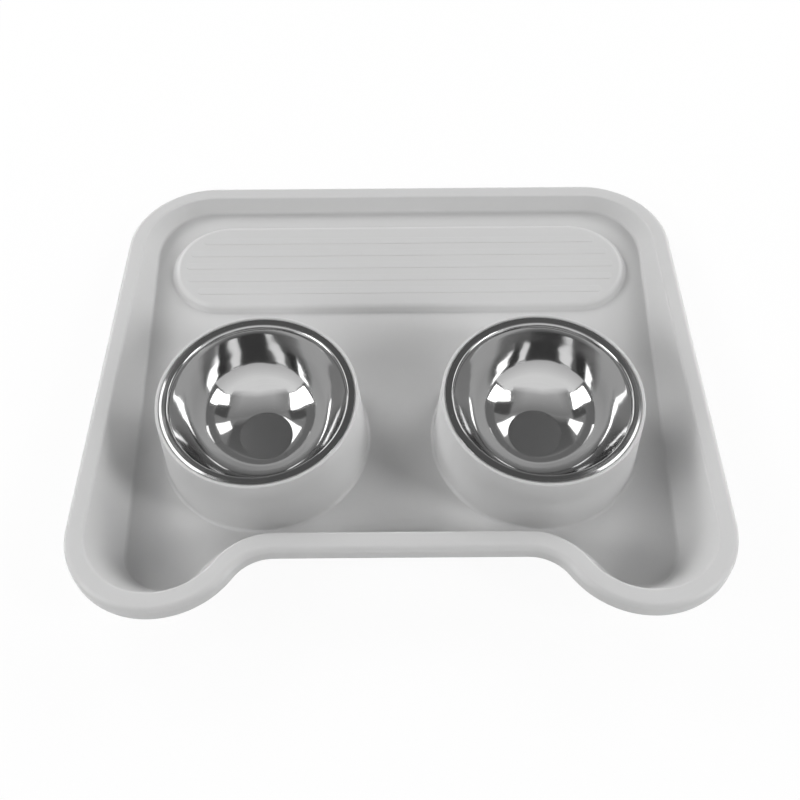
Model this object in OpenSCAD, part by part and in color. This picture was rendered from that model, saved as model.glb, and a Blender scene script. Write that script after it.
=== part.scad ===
// Double pet bowl: a moulded tray with two bowl stands, two steel bowls and rubber feet.
// Lengths are millimetres, angles degrees. +Z is up, -Y is the front, where the pet stands.
// The origin is on the ground, under the middle of the tray.

/* [Tray outline] */
// Width of the tray over its rim
tray_w = 428; // [400:1:460]
// Depth of the tray over its rim, from the back edge to the front lobes
tray_d = 379; // [360:1:400]
// Radius of the two back corners
back_r = 64; // [50:1:80]
// Radius of the two front lobes
lobe_r = 59; // [52:1:66]
// How far the straight front edge lies behind the front of the lobes
notch_d = 40.4; // [34:0.2:46]
// Radius of the hollow curves between the lobes and the straight front edge
notch_r = 30; // [24:1:40]

/* [Tray section] */
// Height of the rim above the tray floor, at the middle of the tray
rim_h = 24.9; // [22:0.1:30]
// Slope of the rim, which rises towards the front
rim_slope = 4.4; // [2:0.1:5]
// Width of the flat rim
rim_w = 12.8; // [11:0.1:15]
// Thickness of the rim and its skirt
rim_t = 2.6; // [2:0.1:3]
// Height of the skirt that hangs from the rim's outer edge
skirt_h = 11; // [8:0.5:13]
// Radius of the rounded outer edge of the rim
rim_round = 4; // [3:0.1:5]
// Bevel where the rim turns down into the tray
rim_bevel = 1.2; // [0.6:0.1:2]
// Thickness of the sloping tray wall, measured level
wall_t = 2.9; // [2.4:0.1:3.4]
// Lean of the tray wall away from upright
wall_lean = 27; // [20:1:29]
// Thickness of the tray floor
floor_t = 2.6; // [2.2:0.1:3.2]

/* [Ribbed pad] */
// Length of the raised pad behind the bowls
pad_l = 357; // [320:1:364]
// Width of the pad, front to back
pad_w = 85; // [78:1:90]
// Height of the pad above the tray floor
pad_h = 4.8; // [4:0.1:6]
// Distance of the pad's middle behind the middle of the tray
pad_y = 109.5; // [106:0.5:112]
// Number of ribs across the pad
rib_count = 5; // [3:1:5]
// Distance from one rib to the next
rib_pitch = 12.7; // [10:0.1:14]
// Width of a rib
rib_w = 5; // [3:0.1:6]
// Height of a rib above the pad
rib_h = 0.8; // [0.5:0.1:1.2]
// Distance that the rib ends stay inside the pad's outline
rib_inset = 9.5; // [8:0.5:14]

/* [Bowl stands] */
// Distance between the two bowl centres
bowl_pitch = 190; // [184:1:200]
// Distance of the bowl centres in front of the middle of the tray
bowl_y = 46; // [42:0.5:48]
// Height of the bowl flange above the tray floor
stand_h = 54; // [52:0.5:62]
// Outer radius of a stand at the tray floor
stand_base_r = 71.5; // [70:0.5:74]
// Outer radius of a stand at its lip
stand_top_r = 67.6; // [67.2:0.1:69]
// Wall thickness of a stand
stand_t = 2.6; // [2:0.1:3]
// Height of the stand's rolled lip above the bowl's flange
lip_h = 0.6; // [0.2:0.1:1]
// Radius of the small hollow curve at the foot of a stand
stand_fillet = 3; // [2:0.5:4]
// Level gap between a bowl and the stand around it
bowl_gap = 0.5; // [0.3:0.1:1]

/* [Steel bowl] */
// Outer radius of the bowl's flange
flange_r = 65; // [64.5:0.1:65.3]
// Width of the flat flange
flange_w = 4; // [3.6:0.1:4.6]
// Thickness of the steel sheet
steel_t = 0.8; // [0.6:0.1:1]
// Radius of the rounded edge where the flange turns down into the bowl
bowl_edge_r = 2; // [1.5:0.1:2.5]
// Inside radius of the bowl's wall, in section
bowl_wall_r = 48; // [44:0.5:49]
// Radius of the round flat at the bottom of the bowl
bowl_flat_r = 18.8; // [16:0.1:22]
// Depth of the step around that flat
bowl_flat_step = 0.5; // [0.3:0.1:0.6]

/* [Feet] */
// Radius of a rubber foot
foot_r = 7; // [6:0.5:8]
// Thickness of a rubber foot
foot_t = 3; // [2.6:0.1:3.4]
// Width of the bevel around a foot's lower face
foot_bevel = 0.5; // [0.3:0.1:1]
// Depth of the round recess that a foot sits in
foot_recess = 1; // [0.6:0.1:1.2]
// Level gap between a foot and the side of its recess
foot_gap = 0.15; // [0.1:0.05:0.3]
// Distance of the back feet from the middle of the tray, sideways
foot_back_x = 160; // [140:1:165]
// Distance of the back feet behind the middle of the tray
foot_back_y = 140; // [120:1:145]
// Distance of the front feet from the middle of the tray, sideways
foot_front_x = 153; // [150:1:158]
// Distance of the front feet in front of the middle of the tray
foot_front_y = 132; // [126:1:138]

/* [Hidden] */

// Overrun of every cut, so that no cut ends flush with a face
cut_over = 1;
// Number of flat bands that round the rim's outer edge
round_bands = 3;
// Places and sizes of the outline's pieces lie on this fine grid, so that the pieces meet exactly
fine_step = 0.001;
function fine(value) = round(value / fine_step) * fine_step;
// Where two round faces would only just touch, one runs past the other by this much
touch_over = 0.01;

// Heights above the ground
floor_bottom_z = foot_t - foot_recess;
floor_z = floor_bottom_z + floor_t;
flange_z = floor_z + stand_h;
seat_z = flange_z - steel_t;
lip_z = flange_z + lip_h;

// The rim plane is turned about a level line above the middle of the tray.
// The small shift brings the middle of the whole tray back over the origin.
rim_z = floor_z + rim_h;
rim_shift_y = (skirt_h + rim_round) / 2 * sin(rim_slope);
lean_run = tan(wall_lean);

// Depth below the rim plane that reaches under the floor at the front
wall_depth = fine(rim_h + floor_z + tray_d / 2 * sin(rim_slope));

// Centres of the outline's curves, in the rim plane
half_w = tray_w / 2;
back_edge_y = tray_d / 2;
back_cx = half_w - back_r;
back_cy = back_edge_y - back_r;
lobe_cx = half_w - lobe_r;
lobe_cy = lobe_r - tray_d / 2;
notch_y = notch_d - tray_d / 2;
notch_cy = notch_y - notch_r;
notch_cx = fine(lobe_cx - sqrt(pow(lobe_r + notch_r + touch_over, 2)
                                - pow(lobe_cy - notch_cy, 2)));

// Centres of the bowl section's two curves, measured from the middle of the flange's top
bowl_edge_cx = flange_r - flange_w;
bowl_curve_z = -bowl_edge_r;
bowl_wall_cx = bowl_edge_cx - bowl_edge_r - bowl_wall_r;
// Inside height of the wall where it meets the flat, and of the flat itself
bowl_wall_end_z = bowl_curve_z - sqrt(pow(bowl_wall_r, 2) - pow(bowl_flat_r - bowl_wall_cx, 2));
bowl_flat_z = bowl_wall_end_z - bowl_flat_step;

// The stand holds the flange in a shallow recess, on a ledge
recess_r = flange_r + bowl_gap;
seat_hole_r = bowl_edge_cx + bowl_gap;
lip_r = (stand_top_r - recess_r) / 2;
stand_flare = (stand_base_r - stand_top_r) / (lip_z - lip_r - floor_z);

// Fineness of round shapes
$fn = 96;

// A solid that fills the tray's outline. Its edge has a section, drawn in the rim plane's frame:
// a list of points from the top down, each the distance drawn in from the outline and a height.
module outline_solid(section) {
    top = section[0][1];
    low = section[len(section) - 1][1];
    upward = [len(section) - 1 : -1 : 0];
    // Middle, from the straight front edge to the straight back edge
    translate([-notch_cx, 0, 0])
        rotate([90, 0, 90])
            linear_extrude(2 * notch_cx)
                polygon(concat([for (point = section) [notch_y + point[0], point[1]]],
                               [for (i = upward) [back_edge_y - section[i][0], section[i][1]]]));
    for (side = [0, 1])
        mirror([side, 0, 0]) {
            // Rest of the straight back edge
            translate([notch_cx, 0, 0])
                rotate([90, 0, 90])
                    linear_extrude(back_cx - notch_cx)
                        edge_section(back_edge_y, back_cy, section);
            // Straight side
            translate([0, back_cy, 0])
                rotate([90, 0, 0])
                    linear_extrude(back_cy - lobe_cy)
                        edge_section(half_w, lobe_cx, section);
            // Back corner
            translate([back_cx, back_cy, 0])
                rotate_extrude(angle = 90)
                    edge_section(back_r, 0, section);
            // Front lobe
            translate([lobe_cx, lobe_cy, 0])
                mirror([0, 1, 0])
                    rotate_extrude(angle = 180)
                        edge_section(lobe_r, 0, section);
            // Plate between these, with the hollow curve of the front edge
            difference() {
                translate([0, 0, low])
                    linear_extrude(top - low)
                        polygon([[lobe_cx, lobe_cy], [notch_cx, notch_cy],
                                 [notch_cx, back_cy], [lobe_cx, back_cy]]);
                translate([notch_cx, notch_cy, 0])
                    rotate_extrude()
                        polygon(concat([[0, top + cut_over],
                                        [notch_r + section[0][0], top + cut_over]],
                                       [for (point = section) [notch_r + point[0], point[1]]],
                                       [[notch_r + section[len(section) - 1][0], low - cut_over],
                                        [0, low - cut_over]]));
            }
        }
}

// Section of a piece of the outline's solid, between an inner line and the outline
module edge_section(outer, inner, section) {
    polygon(concat([[inner, section[0][1]]],
                   [for (point = section) [outer - point[0], point[1]]],
                   [[inner, section[len(section) - 1][1]]]));
}

// Puts a solid that is drawn in the rim plane where the sloping rim is
module at_rim() {
    translate([0, rim_shift_y, rim_z])
        rotate([-rim_slope, 0, 0])
            children();
}

// Everything over the tray's plan that lies above a height
module above(z) {
    translate([-tray_w / 2, -tray_d / 2, z])
        cube([tray_w, tray_d, tray_d]);
}

// Flat rim with its rounded edge and skirt, still closed across the middle
module rim_cap() {
    rounding = [for (band = [0 : round_bands])
                    let (turn = 90 * band / round_bands)
                        [fine(rim_round * (1 - sin(turn))), fine(rim_round * (cos(turn) - 1))]];
    difference() {
        outline_solid(concat(rounding, [[0, -skirt_h]]));
        outline_solid([[rim_round, -rim_t], [rim_t, -rim_round], [rim_t, -skirt_h - cut_over]]);
    }
}

// Outside of the sloping wall and the floor, as a full block. Its top lies within the rim.
module basin_outside() {
    in_rim = rim_w - wall_t;
    intersection() {
        at_rim()
            outline_solid([[fine(in_rim + lean_run * rim_t / 2), -rim_t / 2],
                           [fine(in_rim + lean_run * wall_depth), -wall_depth]]);
        above(floor_bottom_z);
    }
}

// The space inside the tray, above its floor
module basin_inside() {
    intersection() {
        at_rim()
            outline_solid([[rim_w - rim_bevel, cut_over],
                           [rim_w - rim_bevel, 0],
                           [fine(rim_w + lean_run * rim_bevel), -rim_bevel],
                           [fine(rim_w + lean_run * wall_depth), -wall_depth]]);
        above(floor_z);
    }
}

// A bar along X with half-round ends. Its child is the right half of its section.
module round_ended_bar(length, width) {
    rotate([90, 0, 90])
        linear_extrude(length - width, center = true) {
            children();
            mirror([1, 0])
                children();
        }
    for (end = [0, 180])
        rotate([0, 0, end])
            translate([(length - width) / 2, 0, 0])
                rotate([0, 0, -90])
                    rotate_extrude(angle = 180)
                        children();
}

// Right half of the pad's section: flat on top, with a round edge down to the floor
module pad_section() {
    square([pad_w / 2 - pad_h, pad_h]);
    translate([pad_w / 2 - pad_h, 0])
        intersection() {
            circle(pad_h);
            square(pad_h);
        }
}

// Right half of a rib's section: a low round crown
module rib_section() {
    crown_r = (pow(rib_w / 2, 2) + pow(rib_h, 2)) / (2 * rib_h);
    intersection() {
        translate([0, rib_h - crown_r])
            circle(crown_r);
        square([rib_w / 2, rib_h]);
    }
}

// Raised pad with its ribs, whose ends follow the pad's round ends
module pad() {
    translate([0, pad_y, floor_z]) {
        round_ended_bar(pad_l, pad_w)
            pad_section();
        for (rib = [0 : rib_count - 1]) {
            y = (rib - (rib_count - 1) / 2) * rib_pitch;
            half_l = (pad_l - pad_w) / 2 + sqrt(pow(pad_w / 2 - rib_inset, 2) - y * y);
            translate([0, y, pad_h])
                round_ended_bar(2 * half_l, rib_w)
                    rib_section();
        }
    }
}

// Section of a stand: flared wall, ledge for the flange, rolled lip and foot curve
module stand_section() {
    polygon([[stand_base_r - stand_t, floor_bottom_z], [stand_base_r, floor_bottom_z],
             [stand_base_r, floor_z], [stand_top_r, lip_z - lip_r],
             [recess_r, lip_z - lip_r], [recess_r, seat_z],
             [seat_hole_r, seat_z], [seat_hole_r, seat_z - stand_t],
             [stand_top_r - stand_t, seat_z - stand_t]]);
    translate([stand_top_r - lip_r, lip_z - lip_r])
        circle(lip_r);
    // The foot curve's piece reaches into the wall and the floor
    slant = sqrt(1 + pow(stand_flare, 2));
    curve_x = stand_base_r + stand_fillet * (slant - stand_flare) - touch_over;
    curve_z = floor_z + stand_fillet;
    touch_x = curve_x - stand_fillet / slant;
    touch_z = curve_z - stand_fillet * stand_flare / slant;
    difference() {
        polygon([[stand_base_r - stand_t / 2, floor_z - floor_t / 2],
                 [curve_x, floor_z - floor_t / 2], [curve_x, curve_z],
                 [touch_x, touch_z], [touch_x - stand_t / 2, touch_z]]);
        translate([curve_x, curve_z])
            circle(stand_fillet);
    }
}

// The hollow under a stand, open to the ground
module stand_hollow() {
    rotate_extrude()
        polygon([[0, floor_bottom_z - cut_over],
                 [stand_base_r - stand_t, floor_bottom_z - cut_over],
                 [stand_base_r - stand_t, floor_bottom_z],
                 [stand_top_r - stand_t, seat_z - stand_t],
                 [seat_hole_r, seat_z - stand_t],
                 [seat_hole_r, seat_z + cut_over],
                 [0, seat_z + cut_over]]);
}

// Moves its child to the middle of a bowl: side is -1 on the left and 1 on the right
module at_bowl(side) {
    translate([side * bowl_pitch / 2, -bowl_y, 0])
        children();
}

// Moves its child to the middle of a foot
module at_foot(side, x, y) {
    translate([side * x, y, 0])
        children();
}

module tray() {
    color("#c9c9c8")
        difference() {
            union() {
                difference() {
                    union() {
                        at_rim()
                            rim_cap();
                        basin_outside();
                    }
                    basin_inside();
                }
                pad();
                for (side = [-1, 1])
                    at_bowl(side)
                        rotate_extrude()
                            stand_section();
            }
            for (side = [-1, 1]) {
                at_bowl(side)
                    stand_hollow();
                at_foot(side, foot_back_x, foot_back_y)
                    foot_hole();
                at_foot(side, foot_front_x, -foot_front_y)
                    foot_hole();
            }
        }
}

// Section of the steel sheet, drawn from the middle of the flange's top
module bowl_section() {
    // Flange
    translate([bowl_edge_cx, -steel_t])
        square([flange_w, steel_t]);
    // Rounded edge
    intersection() {
        translate([bowl_edge_cx, bowl_curve_z])
            difference() {
                circle(bowl_edge_r);
                circle(bowl_edge_r - steel_t);
            }
        translate([bowl_edge_cx - bowl_edge_r, bowl_curve_z])
            square(bowl_edge_r);
    }
    // Wall
    intersection() {
        translate([bowl_wall_cx, bowl_curve_z])
            difference() {
                circle(bowl_wall_r + steel_t);
                circle(bowl_wall_r);
            }
        translate([bowl_flat_r, bowl_curve_z - bowl_wall_r - steel_t])
            square([flange_r, bowl_wall_r + steel_t]);
    }
    // Round flat
    translate([0, bowl_flat_z - steel_t])
        square([bowl_flat_r + steel_t, steel_t]);
}

module steel_bowl(side) {
    color("#d4d6d8")
        at_bowl(side)
            translate([0, 0, flange_z])
                rotate_extrude()
                    bowl_section();
}

module bowl_left() {
    steel_bowl(-1);
}

module bowl_right() {
    steel_bowl(1);
}

// Round recess in the underside of the floor
module foot_hole() {
    translate([0, 0, floor_bottom_z - cut_over])
        cylinder(cut_over + foot_recess, foot_r + foot_gap, foot_r + foot_gap);
}

module rubber_foot() {
    color("#3a3a3c")
        rotate_extrude()
            polygon([[0, 0], [foot_r - foot_bevel, 0], [foot_r, foot_bevel],
                     [foot_r, foot_t], [0, foot_t]]);
}

module foot_back_left() {
    at_foot(-1, foot_back_x, foot_back_y)
        rubber_foot();
}

module foot_back_right() {
    at_foot(1, foot_back_x, foot_back_y)
        rubber_foot();
}

module foot_front_left() {
    at_foot(-1, foot_front_x, -foot_front_y)
        rubber_foot();
}

module foot_front_right() {
    at_foot(1, foot_front_x, -foot_front_y)
        rubber_foot();
}

tray();
bowl_left();
bowl_right();
foot_back_left();
foot_back_right();
foot_front_left();
foot_front_right();
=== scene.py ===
"""Looks of the double pet bowl: a moulded grey tray on rubber feet, with two lift-out steel bowls.
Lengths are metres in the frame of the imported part. +Z is up and -Y is the front."""
import math

import bmesh
import bpy
from mathutils import Matrix, Vector
from mathutils.geometry import delaunay_2d_cdt


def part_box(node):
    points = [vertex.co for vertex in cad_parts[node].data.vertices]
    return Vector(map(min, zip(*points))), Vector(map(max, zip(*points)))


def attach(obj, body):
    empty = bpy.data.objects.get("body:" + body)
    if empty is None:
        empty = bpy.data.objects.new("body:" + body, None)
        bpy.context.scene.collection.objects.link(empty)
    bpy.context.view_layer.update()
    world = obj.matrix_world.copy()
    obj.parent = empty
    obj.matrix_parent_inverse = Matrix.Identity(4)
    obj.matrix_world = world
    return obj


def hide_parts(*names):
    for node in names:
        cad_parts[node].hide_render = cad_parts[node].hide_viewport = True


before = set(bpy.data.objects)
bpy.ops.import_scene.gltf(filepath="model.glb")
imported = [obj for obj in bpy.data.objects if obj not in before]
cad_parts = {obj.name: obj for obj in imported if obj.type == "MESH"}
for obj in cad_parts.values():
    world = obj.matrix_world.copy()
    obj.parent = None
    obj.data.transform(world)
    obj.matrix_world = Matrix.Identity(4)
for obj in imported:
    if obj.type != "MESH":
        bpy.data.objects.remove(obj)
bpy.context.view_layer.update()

MM = 0.001

# Places taken from the frame
BOWL_SIDES = {"left": -1, "right": 1}
BOWL_LOW, BOWL_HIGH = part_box("bowl_right")
BOWL_X = (BOWL_LOW.x + BOWL_HIGH.x) / 2
BOWL_Y = (BOWL_LOW.y + BOWL_HIGH.y) / 2
FLANGE_R = (BOWL_HIGH.x - BOWL_LOW.x) / 2
FLANGE_Z = BOWL_HIGH.z
TRAY_LOW, TRAY_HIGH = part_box("tray")
TRAY_W = TRAY_HIGH.x - TRAY_LOW.x
STAND_CENTRES = {name: Vector((side * BOWL_X, BOWL_Y)) for name, side in BOWL_SIDES.items()}
FOOT_NODES = [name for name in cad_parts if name.startswith("foot_")]
FOOT_LOW, FOOT_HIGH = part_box(FOOT_NODES[0])
FOOT_R = (FOOT_HIGH.x - FOOT_LOW.x) / 2
FOOT_T = FOOT_HIGH.z

# Tray outline, drawn in the plane of the sloping rim
TRAY_D = 379 * MM
BACK_R = 64 * MM
LOBE_R = 59 * MM
NOTCH_D = 40.4 * MM
NOTCH_R = 30 * MM

# Tray section
RIM_H = 24.9 * MM
RIM_SLOPE = math.radians(4.4)
RIM_W = 12.8 * MM
RIM_T = 2.6 * MM
SKIRT_H = 11 * MM
RIM_ROUND = 4 * MM
RIM_EDGE_R = 2 * MM
WALL_T = 2.9 * MM
WALL_LEAN = math.tan(math.radians(27))
FLOOR_T = 2.6 * MM
CREASE_R = 3 * MM
# Gap between a stand and the wall under which the hollow curves at their feet get smaller
CLOSE_GAP = 9 * MM
# Curves of the underside and the skirt
UNDER_WALL_R = 1 * MM
UNDER_RIM_R = 0.8 * MM
SKIRT_IN_R = 0.5 * MM
SKIRT_OUT_R = 0.7 * MM

# Ribbed pad behind the bowls, whose edge is two soft bends out from and in from its outline
PAD_L = 357 * MM
PAD_W = 85 * MM
PAD_H = 4.8 * MM
PAD_Y = 109.5 * MM
PAD_FOOT_OUT = 1.2 * MM
PAD_FOOT_R = 3 * MM
PAD_TOP_IN = 2.6 * MM
PAD_TOP_R = 6 * MM
RIB_COUNT = 5
RIB_PITCH = 12.7 * MM
RIB_W = 6.2 * MM
RIB_H = 0.32 * MM
RIB_INSET = 9.5 * MM

# Bowl stands
STAND_BASE_R = 71.5 * MM
STAND_TOP_R = 67.6 * MM
STAND_T = 2.6 * MM
STAND_FILLET = 3 * MM
LIP_H = 0.6 * MM
LIP_FLAT = 0.02 * MM
BOWL_GAP = 0.5 * MM
SEAT_CREASE_R = 0.25 * MM
SEAT_EDGE_R = 0.4 * MM
STAND_HOLLOW_R = 0.6 * MM

# Steel bowls
FLANGE_W = 4 * MM
FLANGE_EDGE_R = 0.3 * MM
# The flange falls by its crown over the outermost part of its width
FLANGE_CROWN = 0.05 * MM
FLANGE_CROWN_W = 1.8 * MM
FLANGE_CROWN_R = 10 * MM
STEEL_T = 0.8 * MM
BOWL_EDGE_R = 2 * MM
BOWL_WALL_R = 48 * MM
BOWL_FLAT_R = 18.8 * MM
BOWL_FLAT_EDGE = 0.6 * MM
BOWL_FLAT_EDGE_R = 5 * MM
# The bowl's wall counts as steep between these distances from its middle
STEEP_FROM = 40 * MM
STEEP_TO = 54 * MM
# Slope of the bowl's wall against the lean of its shading normals, in degrees: the wall
# shades as if it ended before it is upright
WALL_SHADE = [(0, 0), (58, 0), (66, -2), (74, -6.5), (82, -12), (87, -11), (90, 0)]

# Feet
FOOT_RECESS = 1 * MM
FOOT_GAP = 0.15 * MM
RECESS_EDGE_R = 0.2 * MM
FOOT_EDGE_R = 0.8 * MM
FOOT_TOP_R = 0.3 * MM
FOOT_RING_IN = 3.2 * MM
FOOT_RING_OUT = 4.6 * MM
FOOT_RING_DEPTH = 0.4 * MM
FOOT_RING_EDGE_R = 0.2 * MM
FOOT_RING_CREASE_R = 0.15 * MM

# Heights, and the centres of the outline's curves
FLOOR_BOTTOM_Z = FOOT_T - FOOT_RECESS
FLOOR_Z = FLOOR_BOTTOM_Z + FLOOR_T
RIM_Z = FLOOR_Z + RIM_H
RIM_SHIFT_Y = (SKIRT_H + RIM_ROUND) / 2 * math.sin(RIM_SLOPE)
SEAT_Z = FLANGE_Z - STEEL_T
LIP_Z = FLANGE_Z + LIP_H
BACK_CENTRE = Vector((TRAY_W / 2 - BACK_R, TRAY_D / 2 - BACK_R))
LOBE_CENTRE = Vector((TRAY_W / 2 - LOBE_R, LOBE_R - TRAY_D / 2))
NOTCH_Y = NOTCH_D - TRAY_D / 2
NOTCH_CENTRE = Vector((0, NOTCH_Y - NOTCH_R))
NOTCH_CENTRE.x = LOBE_CENTRE.x - math.sqrt((LOBE_R + NOTCH_R) ** 2 - (LOBE_CENTRE.y - NOTCH_CENTRE.y) ** 2)

# Fineness of the meshes
ARC_STEP = math.radians(2.5)
STRAIGHT_STEP = 8 * MM
EDGE_STEPS = 8
SMALL_STEPS = 4
BOWL_EDGE_STEPS = 12
BOWL_WALL_STEPS = 96
STAND_ROUND = 256
BOWL_ROUND = 384
FOOT_ROUND = 96
RECESS_ROUND = 64
RIB_POINTS = 81
RIB_SECTION_POINTS = 28
WELD_DISTANCE = 0.001 * MM
FILL_TOLERANCE = 1e-9

# Colours, in linear light
PLASTIC_DARK = (0.575, 0.575, 0.575)
PLASTIC_LIGHT = (0.625, 0.625, 0.625)
# Lighter plastic for convex edges: painted highlight
PLASTIC_EDGE_HIGHLIGHT = (0.70, 0.70, 0.70)
# Darker plastic for hollow curves: painted shade
PLASTIC_PAINTED_SHADE = (0.50, 0.50, 0.50)
STEEL_DARK = (0.56, 0.56, 0.56)
STEEL_LIGHT = (0.66, 0.66, 0.66)
# Steel of the steep walls, darker: painted shade
STEEL_PAINTED_SHADE_DARK = (0.46, 0.46, 0.46)
STEEL_PAINTED_SHADE_LIGHT = (0.54, 0.54, 0.54)
STEEL_FLAT_DARK = (0.50, 0.50, 0.50)
STEEL_FLAT_LIGHT = (0.58, 0.58, 0.58)
RUBBER_DARK = (0.012, 0.012, 0.013)
RUBBER_LIGHT = (0.035, 0.035, 0.037)
RUBBER_RUBBED = (0.07, 0.068, 0.066)
WHITE = (1, 1, 1)
FLOOR_WHITE = (0.94, 0.94, 0.94)

# The colour inputs and output of the node that mixes colours, by number
MIX_INPUTS = (6, 7)
MIX_OUTPUT = 2

# Bending of light by each finish
PLASTIC_IOR = 1.49
STEEL_IOR = 2.5
RUBBER_IOR = 1.52

# Roughness of each finish, and what smears, wear and grain add to it or take from it
PLASTIC_ROUGHNESS = 0.36
PLASTIC_SMEARED = 0.16
PLASTIC_POLISHED = 0.2
STEEL_ROUGHNESS = 0.045
STEEL_SMEARED = 0.05
STEEL_SATIN = 0.09
STEEL_SCUFFED = 0.05
RUBBER_ROUGHNESS = 0.6
RUBBER_GRAINY = 0.25
FLOOR_ROUGHNESS = 0.9

# The floor, and how much of it the camera sees as plain white
FLOOR_HALF = 4.0
FLOOR_GLOW_SHARE = 0.94
# Level of the world as a light
PLAIN_LEVEL = 0.03

# How far the painted highlight on convex edges and the painted shade in hollow curves show in the
# plastic's colours, and how far wear shows in the rubber's
PLASTIC_EDGE_HIGHLIGHT_SHARE = 0.35
PLASTIC_PAINTED_SHADE_SHARE = 0.25
RUBBER_WEAR = 0.6

# Depth of each relief
PLASTIC_GRAIN_DEPTH = 0.02 * MM
RUBBER_GRAIN_DEPTH = 0.06 * MM
STEEL_DEPTH = 1 * MM
# Shares of the steel's depth: spin lines, what the flat adds to them, waves, and what steep walls add
SPIN_SHARE = 0.0012
SPIN_FLAT_SHARE = 0.004
WAVE_SHARE = 0.1
WAVE_STEEP_SHARE = 0.7
SPIN_SCALE = 900.0
WAVE_SCALE = 30.0
SATIN_BLEND = 0.5 * MM

UP = Vector((0, 0, 1))


# Mesh building


class Shell:
    """Collects the points, normals, edge marks and faces of one closed piece."""

    def __init__(self):
        self.points = []
        self.normals = []
        self.marks = []
        self.faces = []

    def ring(self, stations):
        """Adds a ring of (place, normal, mark) and returns its point numbers."""
        first = len(self.points)
        for place, normal, mark in stations:
            self.points.append(place)
            self.normals.append(normal)
            self.marks.append(mark)
        return list(range(first, len(self.points)))

    def bridge(self, one, other):
        """Joins two rings of as many points with quads."""
        for i in range(len(one)):
            j = (i + 1) % len(one)
            self.faces.append((one[i], one[j], other[j], other[i]))

    def loft(self, rings):
        """Joins each ring to the next."""
        for one, other in zip(rings, rings[1:]):
            self.bridge(one, other)

    def close(self, ring, place, normal):
        """Closes a ring with a pole."""
        pole = self.ring([(place, normal, 0.0)])[0]
        for i in range(len(ring)):
            self.faces.append((ring[i], ring[(i + 1) % len(ring)], pole))

    def fill(self, outer, holes=()):
        """Fills the level face between an outer ring and the rings of its holes."""
        rings = [outer, *holes]
        numbers = [n for ring in rings for n in ring]
        flat = [self.points[n].xy for n in numbers]
        edges = []
        start = 0
        for ring in rings:
            edges += [(start + i, start + (i + 1) % len(ring)) for i in range(len(ring))]
            start += len(ring)
        places, _, triangles, origins, _, _ = delaunay_2d_cdt(flat, edges, [], 0, FILL_TOLERANCE)
        outlines = [[self.points[n].xy for n in ring] for ring in rings]
        for triangle in triangles:
            middle = sum((places[k] for k in triangle), Vector((0, 0))) / 3
            if inside(middle, outlines[0]) and not any(inside(middle, o) for o in outlines[1:]):
                self.faces.append(tuple(numbers[origins[k][0]] for k in triangle))

    def piece(self, name, material):
        """Makes the object, with its faces turned outwards and its exact normals."""
        mesh = bpy.data.meshes.new(name)
        mesh.from_pydata(self.points, [], self.faces)
        work = bmesh.new()
        work.from_mesh(mesh)
        bmesh.ops.recalc_face_normals(work, faces=work.faces)
        work.to_mesh(mesh)
        work.free()
        mesh.attributes.new("edge_mark", "FLOAT", "POINT").data.foreach_set("value", self.marks)
        mesh.shade_smooth()
        mesh.normals_split_custom_set_from_vertices(self.normals)
        mesh.materials.append(material)
        return place_object(name, mesh)


def place_object(name, data):
    """Puts an object into the scene, at the origin."""
    made = bpy.data.objects.new(name, data)
    bpy.context.scene.collection.objects.link(made)
    return made


def inside(place, outline):
    """Whether a place lies inside a closed outline."""
    crossings = 0
    for a, b in zip(outline, outline[1:] + outline[:1]):
        if (a.y > place.y) != (b.y > place.y):
            if place.x < a.x + (place.y - a.y) / (b.y - a.y) * (b.x - a.x):
                crossings += 1
    return crossings % 2 == 1


def bend(corner, before, after, radius, steps, hollow):
    """A round bend where two straight ways meet: a list of (place, normal, mark).
    Marks are 1 on the middle of an outer edge, -1 in the middle of a hollow one."""
    turn = before.angle(after)
    reach = radius * math.tan(turn / 2)
    centre = corner + (after - before) * (radius / math.sin(turn))
    first = corner - before * reach - centre
    last = corner + after * reach - centre
    side = -1.0 if hollow else 1.0
    stations = []
    for step in range(steps + 1):
        part = turn * step / steps
        spoke = (first * math.sin(turn - part) + last * math.sin(part)) / math.sin(turn)
        mark = side * math.sin(math.pi * step / steps)
        stations.append((centre + spoke, spoke.normalized() * side, mark))
    return stations


def section(corners, air_left):
    """Bends at the inner corners of a section, each corner (across, up, radius, steps).
    The first and the last corner only say where the section comes from and goes to."""
    places = [Vector(c[:2]) for c in corners]
    stations = []
    for i in range(1, len(corners) - 1):
        before = (places[i] - places[i - 1]).normalized()
        after = (places[i + 1] - places[i]).normalized()
        turns_left = before.x * after.y - before.y * after.x > 0
        radius, steps = corners[i][2:]
        stations += bend(places[i], before, after, radius, steps, turns_left == air_left)
    return stations


def table(value, rows):
    """Reads a value off a table of (place, value) rows, straight between the rows."""
    for (a, low), (b, high) in zip(rows, rows[1:]):
        if value <= b:
            return low + (high - low) * max(value - a, 0) / (b - a)
    return rows[-1][1]


def curve(centre, radius, start, stop, steps, hollow):
    """Stations on an arc of a bowl's section, whose hollow side shades as WALL_SHADE says."""
    stations = []
    for step in range(steps + 1):
        angle = start + (stop - start) * step / steps
        spoke = Vector((math.cos(angle), math.sin(angle)))
        leaning = angle + math.radians(table(90 + math.degrees(angle), WALL_SHADE))
        shade = Vector((math.cos(leaning), math.sin(leaning)))
        stations.append((centre + spoke * radius, -shade if hollow else spoke, 0.0))
    return stations


def revolve(shell, stations, centre, sides):
    """Rings of a section turned about an upright line, from (radius, height) stations."""
    rings = []
    for place, normal, mark in stations:
        ring = []
        for i in range(sides):
            angle = 2 * math.pi * i / sides
            out = Vector((math.cos(angle), math.sin(angle), 0))
            at = Vector((centre.x, centre.y, place.y)) + out * place.x
            ring.append((at, out * normal.x + UP * normal.y, mark))
        rings.append(shell.ring(ring))
    shell.loft(rings)
    return rings


# Outlines


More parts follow.
